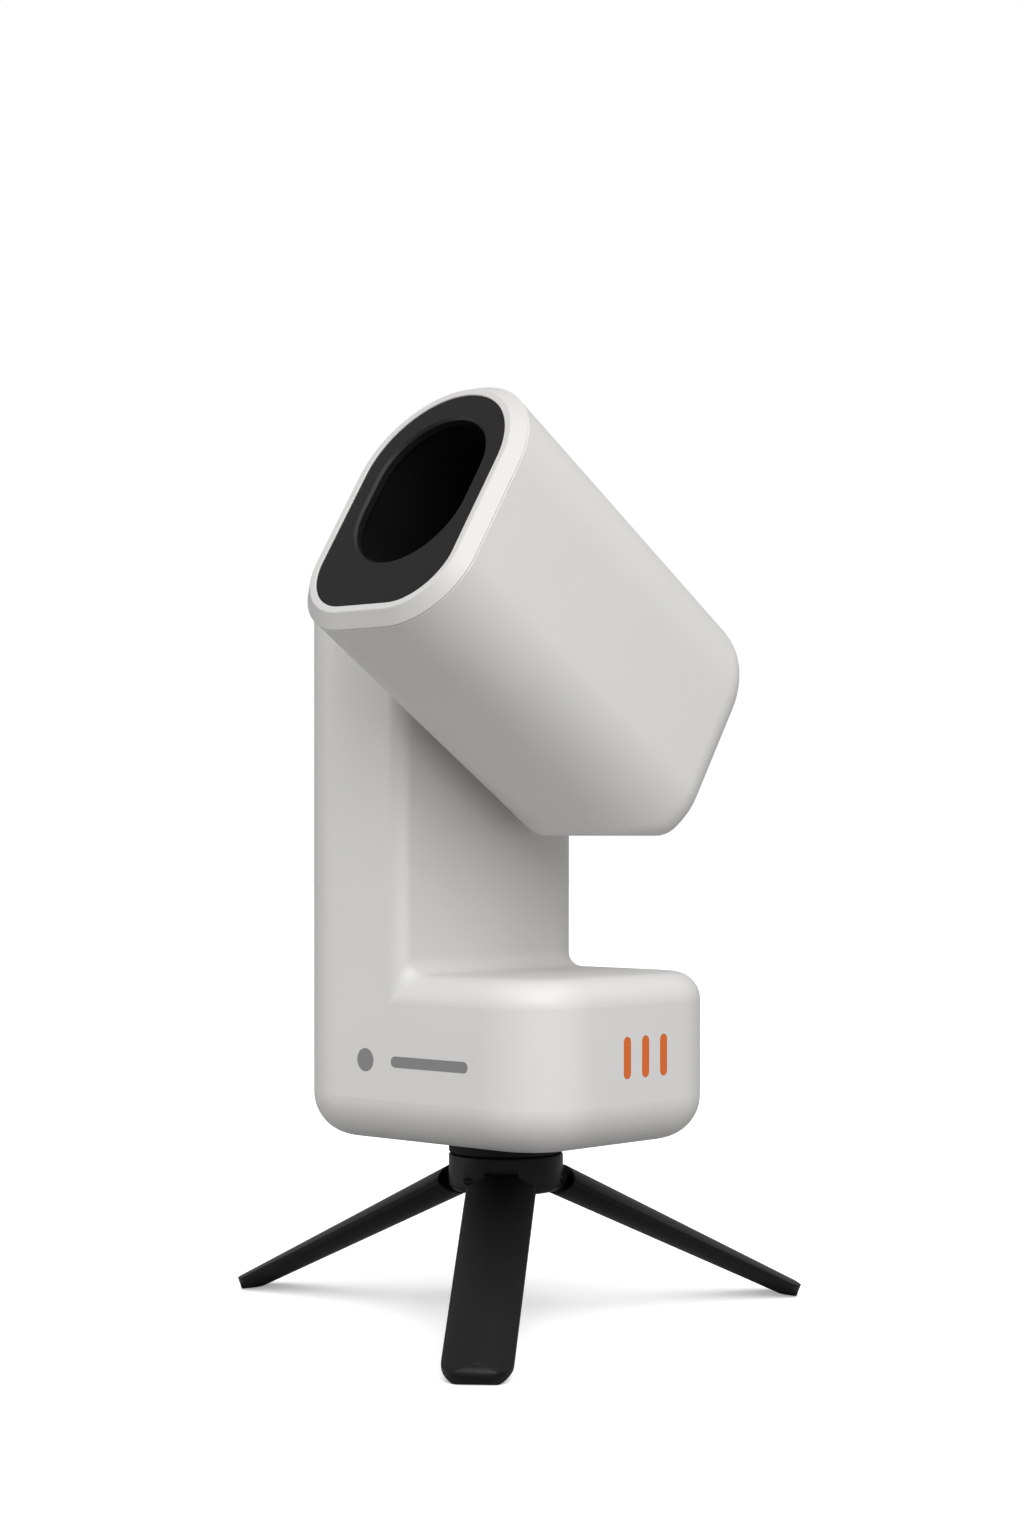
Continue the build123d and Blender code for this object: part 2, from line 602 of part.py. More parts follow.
with BuildPart() as tripod_hub:
    with BuildSketch(deck(HUB_BOTTOM)):
        Circle(HUB_R)
    extrude(amount=HUB_TOP - HUB_BOTTOM)
    fillet(tripod_hub.faces().sort_by(Axis.Z)[-1].edges(), DISC_EDGE)
    fillet(tripod_hub.faces().sort_by(Axis.Z)[0].edges(), HUB_ROUND)
    for bearing in LEG_BEARINGS.values():
        with BuildSketch(hinge_plane(bearing)):
            Circle(SLOT_R)
            with Locations(((SLOT_OUT - SLOT_R) / 2, -SLOT_OUT / 2)):
                Rectangle(SLOT_OUT + SLOT_R, SLOT_OUT)
            with Locations((SLOT_OUT / 2, SLOT_RISE / 2)):
                Rectangle(SLOT_OUT, SLOT_RISE)
        extrude(amount=SLOT_W / 2, both=True, mode=Mode.SUBTRACT)
        with BuildSketch(hinge_plane(bearing)):
            Circle(PIN_R)
        extrude(amount=PIN_HALF, both=True, mode=Mode.SUBTRACT)
        with BuildSketch(hinge_plane(bearing)):
            Circle(PIN_R)
        extrude(amount=HUB_R, mode=Mode.SUBTRACT)
    with BuildSketch(deck(HUB_TOP)):
        Circle(STUD_HOLE_R)
    extrude(amount=HUB_BOTTOM - HUB_TOP, mode=Mode.SUBTRACT)
    with BuildSketch(deck(HUB_BOTTOM)):
        Circle(HEAD_HOLE_R)
    extrude(amount=HEAD_RECESS, mode=Mode.SUBTRACT)
save(tripod_hub, "tripod_hub")

STUD_R, STUD_L, STUD_EDGE = 4.7, 24, 0.8
STUD_HEAD_R, STUD_HEAD_T = 7.4, 4
STUD_HEAD_Z = HUB_BOTTOM + HEAD_RECESS - STUD_HEAD_T
KEY_R, KEY_DEPTH = 4, 2.5

with BuildPart() as mount_stud:
    with BuildSketch(deck(STUD_HEAD_Z)):
        Circle(STUD_HEAD_R)
    extrude(amount=STUD_HEAD_T)
    with BuildSketch(deck(STUD_HEAD_Z + STUD_HEAD_T)):
        Circle(STUD_R)
    extrude(amount=STUD_L)
    chamfer(mount_stud.faces().sort_by(Axis.Z)[-1].edges(), STUD_EDGE)
    with BuildSketch(deck(STUD_HEAD_Z)):
        RegularPolygon(KEY_R, 6)
    extrude(amount=KEY_DEPTH, mode=Mode.SUBTRACT)
save(mount_stud, "mount_stud")

with BuildPart() as leg_pins:
    for bearing in LEG_BEARINGS.values():
        with BuildSketch(hinge_plane(bearing)):
            Circle(PIN_R)
        extrude(amount=PIN_HALF, both=True)
save(leg_pins, "leg_pins")


# ---------------------------------------------------------------- legs
def leg_blade(bearing):
    """The tapering blade of a leg: arched above and below, with a rounded tip."""
    leg = leg_plane(bearing)
    nose_r = LEG_TIP_T / 2
    spare = 0.3
    with BuildPart() as blade:
        for x, width, thick in ((LEG_ROOT, LEG_ROOT_W, LEG_ROOT_T), (LEG_L, LEG_TIP_W, LEG_TIP_T)):
            edge = width / 2 + spare
            section = Plane(origin=leg.from_local_coords((x, 0, 0)), x_dir=leg.y_dir, z_dir=leg.x_dir)
            with BuildSketch(section):
                with BuildLine():
                    ThreePointArc((-edge, LEG_EDGE), (0, thick / 2), (edge, LEG_EDGE))
                    Line((edge, LEG_EDGE), (edge, -LEG_EDGE))
                    ThreePointArc((edge, -LEG_EDGE), (0, -thick / 2), (-edge, -LEG_EDGE))
                    Line((-edge, -LEG_EDGE), (-edge, LEG_EDGE))
                make_face()
        loft()
        # seen from above: straight sides, round corners
        with BuildSketch(leg) as plan:
            with BuildLine():
                Polyline((0, LEG_ROOT_W / 2), (LEG_L, LEG_TIP_W / 2), (LEG_L, -LEG_TIP_W / 2),
                         (0, -LEG_ROOT_W / 2), close=True)
            make_face()
            fillet(plan.vertices().filter_by_position(Axis.X, LEG_L - 1, LEG_L + 1), LEG_TIP_R)
        extrude(amount=LEG_ROOT_T, both=True, mode=Mode.INTERSECT)
        # seen from the side: a round nose
        with BuildSketch(Plane(origin=leg.origin, x_dir=leg.x_dir, z_dir=-leg.y_dir)):
            with Locations(((LEG_L - nose_r) / 2, 0)):
                Rectangle(LEG_L - nose_r, 2 * LEG_ROOT_T)
            with Locations((LEG_L - nose_r, 0)):
                Circle(nose_r)
        extrude(amount=LEG_ROOT_W, both=True, mode=Mode.INTERSECT)
    return blade.part


def pad_zone(bearing):
    """The room of a pad: the lower half of the blade's end, above the ground."""
    leg = leg_plane(bearing)
    with BuildPart() as zone:
        with BuildSketch(leg.offset(-LEG_EDGE)):
            with Locations((LEG_L - PAD_L / 2 + 1, 0)):
                Rectangle(PAD_L + 2, LEG_ROOT_W)
        extrude(amount=-LEG_ROOT_T)
    return zone.part


for name, bearing in LEG_BEARINGS.items():
    leg = leg_plane(bearing)
    side = Plane(origin=leg.origin, x_dir=leg.x_dir, z_dir=-leg.y_dir)
    with BuildPart() as tripod_leg:
        add(leg_blade(bearing))
        add(pad_zone(bearing), mode=Mode.SUBTRACT)
        with BuildSketch(side):
            Circle(KNUCKLE_R)
            with Locations((LEG_ROOT / 2 + 1.5, 0)):
                Rectangle(LEG_ROOT + 3, TONGUE_T)
        extrude(amount=TONGUE_W / 2, both=True)
        with BuildSketch(side):
            Circle(PIN_R + RUN)
        extrude(amount=TONGUE_W, both=True, mode=Mode.SUBTRACT)
    save(tripod_leg, f"leg_{name}")

    with BuildPart() as foot_pad:
        add(leg_blade(bearing))
        add(pad_zone(bearing), mode=Mode.INTERSECT)
        split(bisect_by=Plane.XY, keep=Keep.TOP)
    save(foot_pad, f"foot_pad_{name}")

# ---------------------------------------------------------------- optical tube: casing
SEAM = TUBE_FRONT - BEZEL_L
PLATE_BACK = TUBE_FRONT - SINK - PLATE_T
CELL_FRONT = TUBE_FRONT - SINK - LENS_DEPTH
SHIELD_BACK = CELL_FRONT - 4
SPIGOT = 5                 # the bezel's collar inside the shell
PLATE_SEAT, PLATE_FIT = 2, 0.15        # ledge behind the face plate, gap round it
ALONG = Axis(TUBE.origin, TUBE.z_dir)


def tube_section(inset):
    """The tube's section, moved in by inset: round above, flat with round corners below."""
    half_w = TUBE_W / 2 - inset
    crown, floor = TUBE_CROWN - inset, TUBE_FLOOR + inset
    with BuildSketch() as section:
        with Locations((0, (crown + floor) / 2)):
            Rectangle(2 * half_w, crown - floor)
        fillet(section.vertices().group_by(Axis.Y)[-1], CROWN_R - inset)
        fillet(section.vertices().group_by(Axis.Y)[0], FLOOR_R - inset)
    return section.sketch


def tube_form(inset, front):
    """The tube from its rear to front, moved in by inset: rounded end and level heel."""
    with BuildPart() as form:
        with BuildSketch(TUBE.offset(-TUBE_REAR + inset)):
            add(tube_section(inset))
        extrude(amount=TUBE_REAR - inset + front)
        fillet(form.faces().sort_by(ALONG)[0].edges(), REAR_R - inset)
        split(bisect_by=deck(HEEL_Z + inset), keep=Keep.TOP)
        fillet(form.faces().sort_by(Axis.Z)[0].edges(), HEEL_R - inset)
    return form.part


with BuildPart() as tube_shell:
    add(tube_form(0, SEAM))
    chamfer(tube_shell.faces().sort_by(ALONG)[-1].edges(), SEAM_EDGE)
    add(tube_form(WALL, SEAM + 1), mode=Mode.SUBTRACT)
    with BuildSketch(TILT_AXIS.offset(TUBE_X - TUBE_W / 2 - 1)):
        Circle(SHAFT_R)
    extrude(amount=WALL + 2, mode=Mode.SUBTRACT)
save(tube_shell, "tube_shell")

with BuildPart() as front_bezel:
    with BuildSketch(TUBE.offset(SEAM)):
        add(tube_section(0))
    extrude(amount=BEZEL_L)
    chamfer(front_bezel.faces().sort_by(ALONG)[-1].edges(), BAND)
    chamfer(front_bezel.faces().sort_by(ALONG)[0].edges(), SEAM_EDGE)
    fillet(front_bezel.faces().sort_by(ALONG)[-1].edges(), LAND_R)
    with BuildSketch(TUBE.offset(SEAM - SPIGOT)):
        add(tube_section(WALL + RUN))
    extrude(amount=SPIGOT)
    with BuildSketch(TUBE.offset(SEAM - SPIGOT)):
        add(tube_section(PLATE_IN + PLATE_SEAT))
    extrude(amount=BEZEL_L + SPIGOT, mode=Mode.SUBTRACT)
    with BuildSketch(TUBE.offset(PLATE_BACK)):
        add(tube_section(PLATE_IN))
    extrude(amount=BEZEL_L, mode=Mode.SUBTRACT)
    fillet(front_bezel.faces().sort_by(ALONG)[-1].inner_wires().edges(), LIP_R)
save(front_bezel, "front_bezel")

with BuildPart() as face_plate:
    with BuildSketch(TUBE.offset(PLATE_BACK)):
        add(tube_section(PLATE_IN + PLATE_FIT))
        with Locations((0, OPENING_V)):
            RectangleRounded(OPENING_W, OPENING_H, OPENING_R, mode=Mode.SUBTRACT)
    extrude(amount=PLATE_T)
    chamfer(face_plate.faces().sort_by(ALONG)[-1].inner_wires().edges(), RIM)
save(face_plate, "face_plate")

SHIELD_GROW = 1            # the hood is wider than the opening by this, all round
SHIELD_T, SHIELD_FLOOR = 1.5, 2
CAMERA_R, CAMERA_L = 6, 14
PUPIL_R, PUPIL_DEPTH = 3.6, 0.8

with BuildPart() as light_shield:
    outer, inner = SHIELD_GROW + SHIELD_T, SHIELD_GROW
    with BuildSketch(TUBE.offset(SHIELD_BACK)):
        with Locations((0, OPENING_V)):
            RectangleRounded(OPENING_W + 2 * outer, OPENING_H + 2 * outer, OPENING_R + outer)
    extrude(amount=PLATE_BACK - SHIELD_BACK)
    with BuildSketch(TUBE.offset(SHIELD_BACK + SHIELD_FLOOR)):
        with Locations((0, OPENING_V)):
            RectangleRounded(OPENING_W + 2 * inner, OPENING_H + 2 * inner, OPENING_R + inner)
    extrude(amount=PLATE_BACK - SHIELD_BACK, mode=Mode.SUBTRACT)
    with BuildSketch(TUBE.offset(SHIELD_BACK)):
        with Locations((0, LENS_V)):
            Circle(CELL_R)
        with Locations((0, CAMERA_V)):
            Circle(CAMERA_R)
    extrude(amount=SHIELD_FLOOR, mode=Mode.SUBTRACT)
save(light_shield, "light_shield")

# ---------------------------------------------------------------- optical tube: lens and barrel
CELL_LENGTH = 20
CELL_BACK = CELL_FRONT - CELL_LENGTH
CELL_STOP = 1.5            # inner shoulder that the lens rests on
FRONT_SEAT, REAR_SEAT = 7, 10          # depth of the cell's front and rear bores
CELL_EDGE = 0.8
BARREL_R, BARREL_BACK = 19, 5
BARREL_SPIGOT = 5          # part of the barrel inside the cell
BARREL_FLANGE, FLANGE_PLATE, BARREL_PUPIL = 5, 2, 9

with BuildPart() as lens_cell:
    with BuildSketch(TUBE.offset(CELL_BACK)):
        with Locations((0, LENS_V)):
            Circle(CELL_R)
            Circle(LENS_R - CELL_STOP, mode=Mode.SUBTRACT)
    extrude(amount=CELL_LENGTH)
    with BuildSketch(TUBE.offset(CELL_FRONT)):
        with Locations((0, LENS_V)):
            Circle(LENS_R)
    extrude(amount=-FRONT_SEAT, mode=Mode.SUBTRACT)
    with BuildSketch(TUBE.offset(CELL_BACK)):
        with Locations((0, LENS_V)):
            Circle(LENS_R)
    extrude(amount=REAR_SEAT, mode=Mode.SUBTRACT)
    chamfer(lens_cell.faces().sort_by(ALONG)[-1].outer_wire().edges(), CELL_EDGE)
save(lens_cell, "lens_cell")


def lens(back, thick, bulge):
    """A round lens, flat behind and domed in front, on the optical axis."""
    dome_r = (LENS_R ** 2 + bulge ** 2) / (2 * bulge)
    axis_plane = Plane(origin=TUBE.from_local_coords((0, LENS_V, back)),
                       x_dir=TUBE.x_dir, z_dir=-TUBE.y_dir)
    with BuildPart() as glass:
        with BuildSketch(axis_plane):
            with BuildLine():
                Polyline((0, thick + bulge), (0, 0), (LENS_R, 0), (LENS_R, thick))
                RadiusArc((LENS_R, thick), (0, thick + bulge), -dome_r)
            make_face()
        revolve(axis=Axis(axis_plane.origin, TUBE.z_dir))
    return glass


FRONT_LENS_T, FRONT_BULGE = 2.8, 1.6
REAR_LENS_T, REAR_BULGE = 3.4, 1.2
RETAINER_W, RETAINER_T = 1.6, 2.2
front_lens = lens(CELL_FRONT - FRONT_SEAT, FRONT_LENS_T, FRONT_BULGE)
save(front_lens, "front_lens")
rear_lens = lens(CELL_BACK + BARREL_SPIGOT, REAR_LENS_T, REAR_BULGE)
save(rear_lens, "rear_lens")

with BuildPart() as lens_retainer:
    with BuildSketch(TUBE.offset(CELL_FRONT - FRONT_SEAT + FRONT_LENS_T + 0.35)):
        with Locations((0, LENS_V)):
            Circle(LENS_R)
            Circle(LENS_R - RETAINER_W, mode=Mode.SUBTRACT)
    extrude(amount=RETAINER_T)
save(lens_retainer, "lens_retainer")

with BuildPart() as optical_barrel:
    with BuildSketch(TUBE.offset(BARREL_BACK)):
        with Locations((0, LENS_V)):
            Circle(BARREL_R)
    extrude(amount=CELL_BACK - BARREL_BACK)
    with BuildSketch(TUBE.offset(CELL_BACK)):
        with Locations((0, LENS_V)):
            Circle(LENS_R)
    extrude(amount=BARREL_SPIGOT)
    with BuildSketch(TUBE.offset(BARREL_BACK)):
        with Locations((0, LENS_V)):
            Circle(BARREL_R + BARREL_FLANGE)
    extrude(amount=FLANGE_PLATE)
    with BuildSketch(TUBE.offset(BARREL_BACK + FLANGE_PLATE)):
        with Locations((0, LENS_V)):
            Circle(LENS_R - CELL_STOP)
    extrude(amount=CELL_BACK - BARREL_BACK + BARREL_SPIGOT, mode=Mode.SUBTRACT)
    with BuildSketch(TUBE.offset(BARREL_BACK)):
        with Locations((0, LENS_V)):
            Circle(BARREL_PUPIL)
    extrude(amount=FLANGE_PLATE, mode=Mode.SUBTRACT)
save(optical_barrel, "optical_barrel")

with BuildPart() as wide_camera:
    with BuildSketch(TUBE.offset(CELL_FRONT - CAMERA_L)):
        with Locations((0, CAMERA_V)):
            Circle(CAMERA_R)
    extrude(amount=CAMERA_L)
    with BuildSketch(TUBE.offset(CELL_FRONT)):
        with Locations((0, CAMERA_V)):
            Circle(PUPIL_R)
    extrude(amount=-PUPIL_DEPTH, mode=Mode.SUBTRACT)
save(wide_camera, "wide_camera")

# ---------------------------------------------------------------- optical tube: tilt drive
TUBE_LEFT = TUBE_X - TUBE_W / 2
COLLAR_R, COLLAR_T = 15, 3
NUT_R = 17
with BuildPart() as altitude_shaft:
    with BuildSketch(TILT_AXIS.offset(SHAFT_END)):
        Circle(SHAFT_R)
    extrude(amount=TUBE_LEFT + WALL - SHAFT_END)
    with BuildSketch(TILT_AXIS.offset(ARM_X + GAP)):
        Circle(COLLAR_R)
    extrude(amount=TUBE_LEFT - ARM_X - GAP)
    with BuildSketch(TILT_AXIS.offset(TUBE_LEFT + WALL)):
        Circle(COLLAR_R)
    extrude(amount=COLLAR_T)
    with BuildSketch(TILT_AXIS.offset(SHAFT_END)):
        Circle(SHAFT_BORE)
    extrude(amount=TUBE_LEFT + WALL + COLLAR_T - SHAFT_END, mode=Mode.SUBTRACT)
save(altitude_shaft, "altitude_shaft")

with BuildPart() as altitude_gear:
    with BuildSketch(TILT_AXIS.offset(GEAR_X)):
        add(gear_sketch(WHEEL_TEETH, SHAFT_R, -90))
    extrude(amount=GEAR_T)
save(altitude_gear, "altitude_gear")

with BuildPart() as shaft_nut:
    with BuildSketch(TILT_AXIS.offset(SHAFT_END)):
        RegularPolygon(NUT_R, 6)
        Circle(SHAFT_R, mode=Mode.SUBTRACT)
    extrude(amount=COLLAR_T)
save(shaft_nut, "shaft_nut")

# ---------------------------------------------------------------- optical tube: filter and focus
FILTER_R, FILTER_T, FILTER_RING = 8, 2, 16
WHEEL_V = LENS_V - FILTER_RING
WHEEL_R, WHEEL_T = 26, 3.5
WHEEL_PIN_R, WHEEL_PIN_L = 1.5, 14
SMALL_MOTOR_R, FILTER_MOTOR_L, FOCUS_MOTOR_L = 7, 11, 14
POST_R = 2
FRAME_W, FRAME_H, FRAME_R, FRAME_V = 56, 68, 20, 5
END_H, END_R, END_V, END_T = 56, 18, 8, 2
FRAME_Z, FRAME_T, FRAME_END = -2, 3, -38
RAILS = [(-17, 6), (17, 6)]
BARS = [(-25, -8), (25, -8)]
POSTS = [(-14, 12.8), (14, 12.8)]
SCREW_V, SCREW_R = 30, 2
CARRIAGE_Z, CARRIAGE_T = -22, 3
CARRIAGE_W, CARRIAGE_H, CARRIAGE_R, CARRIAGE_V = 42, 44, 5, 12
SENSOR_BOARD_W, SENSOR_BOARD_H, SENSOR_BOARD_T = 28, 22, 1.4
SENSOR_W, SENSOR_H, SENSOR_T = 14, 11, 1.5

with BuildPart() as filter_wheel:
    with BuildSketch(TUBE):
        with Locations((0, WHEEL_V)):
            Circle(WHEEL_R)
            with PolarLocations(FILTER_RING, 3, start_angle=90):
                Circle(FILTER_R, mode=Mode.SUBTRACT)
    extrude(amount=WHEEL_T)
    with BuildSketch(TUBE):
        with Locations((0, WHEEL_V)):
            Circle(WHEEL_PIN_R)
    extrude(amount=-WHEEL_PIN_L)
save(filter_wheel, "filter_wheel")

with BuildPart() as filters:
    with BuildSketch(TUBE.offset((WHEEL_T - FILTER_T) / 2)):
        with Locations((0, WHEEL_V)):
            with PolarLocations(FILTER_RING, 3, start_angle=90):
                Circle(FILTER_R)
    extrude(amount=FILTER_T)
save(filters, "filters")

with BuildPart() as camera_frame:
    with BuildSketch(TUBE.offset(FRAME_Z)):
        with Locations((0, FRAME_V)):
            RectangleRounded(FRAME_W, FRAME_H, FRAME_R)
    extrude(amount=-FRAME_T)
    with BuildSketch(TUBE.offset(FRAME_END)):
        with Locations((0, END_V)):
            RectangleRounded(FRAME_W, END_H, END_R)
    extrude(amount=END_T)
    with BuildSketch(TUBE.offset(FRAME_END)):
        with Locations(*BARS):
            Circle(POST_R)
    extrude(amount=FRAME_Z - FRAME_END)
    with BuildSketch(TUBE.offset(FRAME_Z)):
        with Locations(*POSTS):
            Circle(POST_R)
    extrude(amount=BARREL_BACK - FRAME_Z)
    with BuildSketch(TUBE.offset(FRAME_Z)):
        with Locations((0, LENS_V)):
            Circle(FILTER_R - 1)
        with Locations((0, WHEEL_V)):
            Circle(WHEEL_PIN_R + 0.5)
        with Locations((0, SCREW_V)):
            Circle(SCREW_R + 0.5)
        with Locations(*RAILS):
            Circle(PIN_R)
    extrude(amount=-FRAME_T, mode=Mode.SUBTRACT)
    with BuildSketch(TUBE.offset(FRAME_END)):
        with Locations(*RAILS):
            Circle(PIN_R)
        with Locations((0, SCREW_V)):
            Circle(SCREW_R + RUN)
    extrude(amount=END_T, mode=Mode.SUBTRACT)
save(camera_frame, "camera_frame")

with BuildPart() as focus_rails:
    with BuildSketch(TUBE.offset(FRAME_END)):
        with Locations(*RAILS):
            Circle(PIN_R)
    extrude(amount=FRAME_Z - FRAME_END)
save(focus_rails, "focus_rails")

with BuildPart() as filter_motor:
    with BuildSketch(TUBE.offset(FRAME_Z - FRAME_T)):
        with Locations((0, WHEEL_V)):
            Circle(SMALL_MOTOR_R)
            Circle(WHEEL_PIN_R + RUN, mode=Mode.SUBTRACT)
    extrude(amount=-FILTER_MOTOR_L)
save(filter_motor, "filter_motor")

with BuildPart() as focus_motor:
    with BuildSketch(TUBE.offset(FRAME_Z)):
        with Locations((0, SCREW_V)):
            Circle(SMALL_MOTOR_R)
            Circle(SCREW_R + RUN, mode=Mode.SUBTRACT)
    extrude(amount=FOCUS_MOTOR_L)
save(focus_motor, "focus_motor")

with BuildPart() as lead_screw:
    with BuildSketch(TUBE.offset(FRAME_END)):
        with Locations((0, SCREW_V)):
            Circle(SCREW_R)
    extrude(amount=FRAME_Z - FRAME_END + 12)
save(lead_screw, "lead_screw")

with BuildPart() as focus_carriage:
    with BuildSketch(TUBE.offset(CARRIAGE_Z)):
        with Locations((0, CARRIAGE_V)):
            RectangleRounded(CARRIAGE_W, CARRIAGE_H, CARRIAGE_R)
        with Locations(*RAILS):
            Circle(PIN_R + RUN, mode=Mode.SUBTRACT)
        with Locations((0, SCREW_V)):
            Circle(SCREW_R + RUN, mode=Mode.SUBTRACT)
    extrude(amount=CARRIAGE_T)
save(focus_carriage, "focus_carriage")

with BuildPart() as sensor_board:
    with BuildSketch(TUBE.offset(CARRIAGE_Z + CARRIAGE_T)):
        with Locations((0, 1)):
            Rectangle(SENSOR_BOARD_W, SENSOR_BOARD_H)
    extrude(amount=SENSOR_BOARD_T)
save(sensor_board, "sensor_board")

with BuildPart() as image_sensor:
    with BuildSketch(TUBE.offset(CARRIAGE_Z + CARRIAGE_T + SENSOR_BOARD_T)):
        with Locations((0, LENS_V)):
            Rectangle(SENSOR_W, SENSOR_H)
    extrude(amount=SENSOR_T)
save(image_sensor, "image_sensor")
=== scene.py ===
import json
from math import cos, pi, radians, sin

import bpy
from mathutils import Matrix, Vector

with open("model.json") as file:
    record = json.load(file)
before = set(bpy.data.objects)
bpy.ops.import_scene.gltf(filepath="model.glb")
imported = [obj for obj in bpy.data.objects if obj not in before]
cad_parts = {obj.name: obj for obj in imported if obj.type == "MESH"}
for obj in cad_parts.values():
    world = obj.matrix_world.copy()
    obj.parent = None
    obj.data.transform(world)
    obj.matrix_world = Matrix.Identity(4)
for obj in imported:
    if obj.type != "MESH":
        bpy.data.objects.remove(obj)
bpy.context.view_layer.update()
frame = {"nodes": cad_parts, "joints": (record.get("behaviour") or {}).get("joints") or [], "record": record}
nodes = frame["nodes"]
joints = {j["name"]: j for j in frame["joints"]}

# ---------------------------------------------------------------- camera
VIEW_AZIMUTH = radians(42.75)
EYE_DISTANCE, EYE_HEIGHT, EYE_SIDE = 0.989, 0.1793, 0.00225    # metres, from the axis and the floor
LENS_MM, SENSOR_MM = 62.6, 36.0
LOOK_UP = 0.0423                       # lens shift, so that upright edges stay upright

turn_axis = Vector(joints["azimuth"]["pos_m"])
right = Vector((cos(VIEW_AZIMUTH), sin(VIEW_AZIMUTH), 0))
back = Vector((sin(VIEW_AZIMUTH), -cos(VIEW_AZIMUTH), 0))
camera_data = bpy.data.cameras.new("camera")
camera_data.lens = LENS_MM
camera_data.sensor_width = SENSOR_MM
camera_data.shift_y = LOOK_UP
camera = bpy.data.objects.new("camera", camera_data)
bpy.context.collection.objects.link(camera)
camera.location = (turn_axis.x, turn_axis.y, 0)
camera.location += back * EYE_DISTANCE + right * EYE_SIDE + Vector((0, 0, EYE_HEIGHT))
camera.rotation_euler = (pi / 2, 0, VIEW_AZIMUTH)
bpy.context.scene.camera = camera
bpy.context.scene.view_settings.view_transform = "Standard"


# ---------------------------------------------------------------- studio
def seen_or_lit(tree, seen, lit):
    """A number that is one value where the camera sees the surface and another where it lights."""
    path = tree.nodes.new("ShaderNodeLightPath")
    pick = tree.nodes.new("ShaderNodeMapRange")
    pick.inputs["To Min"].default_value = lit
    pick.inputs["To Max"].default_value = seen
    tree.links.new(path.outputs["Is Camera Ray"], pick.inputs["Value"])
    return pick.outputs["Result"]


def world_light(seen, lit):
    """A white surround that lights less than it shows."""
    world = bpy.data.worlds.new("studio")
    world.use_nodes = True
    tree = world.node_tree
    background = tree.nodes["Background"]
    background.inputs["Color"].default_value = (1, 1, 1, 1)
    tree.links.new(seen_or_lit(tree, seen, lit), background.inputs["Strength"])
    bpy.context.scene.world = world


def soft_box(name, place, aim, size, power):
    """A large square lamp at place, facing aim."""
    data = bpy.data.lights.new(name, "AREA")
    data.size = size
    data.energy = power
    lamp = bpy.data.objects.new(name, data)
    bpy.context.collection.objects.link(lamp)
    lamp.location = place
    lamp.rotation_euler = (Vector(aim) - Vector(place)).to_track_quat("-Z", "Y").to_euler()


def sky_lamp(name, place, spread_angle, strength):
    """Even light from a wide patch of sky in the direction of place."""
    data = bpy.data.lights.new(name, "SUN")
    data.angle = spread_angle
    data.energy = strength
    lamp = bpy.data.objects.new(name, data)
    bpy.context.collection.objects.link(lamp)
    lamp.rotation_euler = (-Vector(place)).to_track_quat("-Z", "Y").to_euler()


FLOOR_SIZE, FLOOR_GAP = 12, 0.0002     # metres; the gap keeps the floor clear of the feet
FLOOR_GLOW = 0.3                       # keeps the far floor as pale as the backdrop


def floor_sheet(seen, lit):
    """A wide pale floor just under the feet."""
    bpy.ops.mesh.primitive_plane_add(size=FLOOR_SIZE, location=(0, 0, -FLOOR_GAP))
    floor = bpy.context.object
    floor.name = "studio_floor"
    material = bpy.data.materials.new("floor_pale")
    material.use_nodes = True
    tree = material.node_tree
    shader = tree.nodes["Principled BSDF"]
    shader.inputs["Roughness"].default_value = 1.0
    shader.inputs["Specular IOR Level"].default_value = 0.0
    shader.inputs["Emission Color"].default_value = (1, 1, 1, 1)
    tree.links.new(seen_or_lit(tree, seen, lit), shader.inputs["Base Color"])
    tree.links.new(seen_or_lit(tree, FLOOR_GLOW, 0), shader.inputs["Emission Strength"])
    floor.data.materials.append(material)


MIDDLE = (0, 0, 0.18)                  # about the object's middle, where the lamps point
world_light(seen=1.0, lit=0.42)
soft_box("key", (1.2, -0.8, 1.0), MIDDLE, size=1.3, power=17)
soft_box("left", (-1.5, -1.2, 0.5), MIDDLE, size=1.2, power=8)
sky_lamp("sky", (0.5, -0.35, 1.2), spread_angle=radians(70), strength=1.9)
floor_sheet(seen=0.98, lit=0.35)


# ---------------------------------------------------------------- materials
DRIFT_SCALE, DRIFT_DETAIL = 18, 3      # slow drift of colour over a piece
GRAIN_DETAIL = 4                       # fine grain, in the gloss and the relief
RAMP_LOW, RAMP_HIGH = 0.3, 0.7         # where the drift reaches its darkest and palest


def noise(tree, vector, scale, detail):
    """A noise texture fixed to the surface."""
    node = tree.nodes.new("ShaderNodeTexNoise")
    node.inputs["Scale"].default_value = scale
    node.inputs["Detail"].default_value = detail
    tree.links.new(vector, node.inputs["Vector"])
    return node.outputs["Fac"]


def shade_of(tree, factor, colour, vary):
    """A colour that drifts darker and paler with a factor."""
    ramp = tree.nodes.new("ShaderNodeValToRGB")
    ramp.color_ramp.elements[0].position = RAMP_LOW
    ramp.color_ramp.elements[0].color = (*[c * (1 - vary) for c in colour], 1)
    ramp.color_ramp.elements[1].position = RAMP_HIGH
    ramp.color_ramp.elements[1].color = (*[min(1, c * (1 + vary)) for c in colour], 1)
    tree.links.new(factor, ramp.inputs["Fac"])
    return ramp.outputs["Color"]


def spread(tree, factor, low, high):
    """A factor brought between two values."""
    node = tree.nodes.new("ShaderNodeMapRange")
    node.inputs["To Min"].default_value = low
    node.inputs["To Max"].default_value = high
    tree.links.new(factor, node.inputs["Value"])
    return node.outputs["Result"]


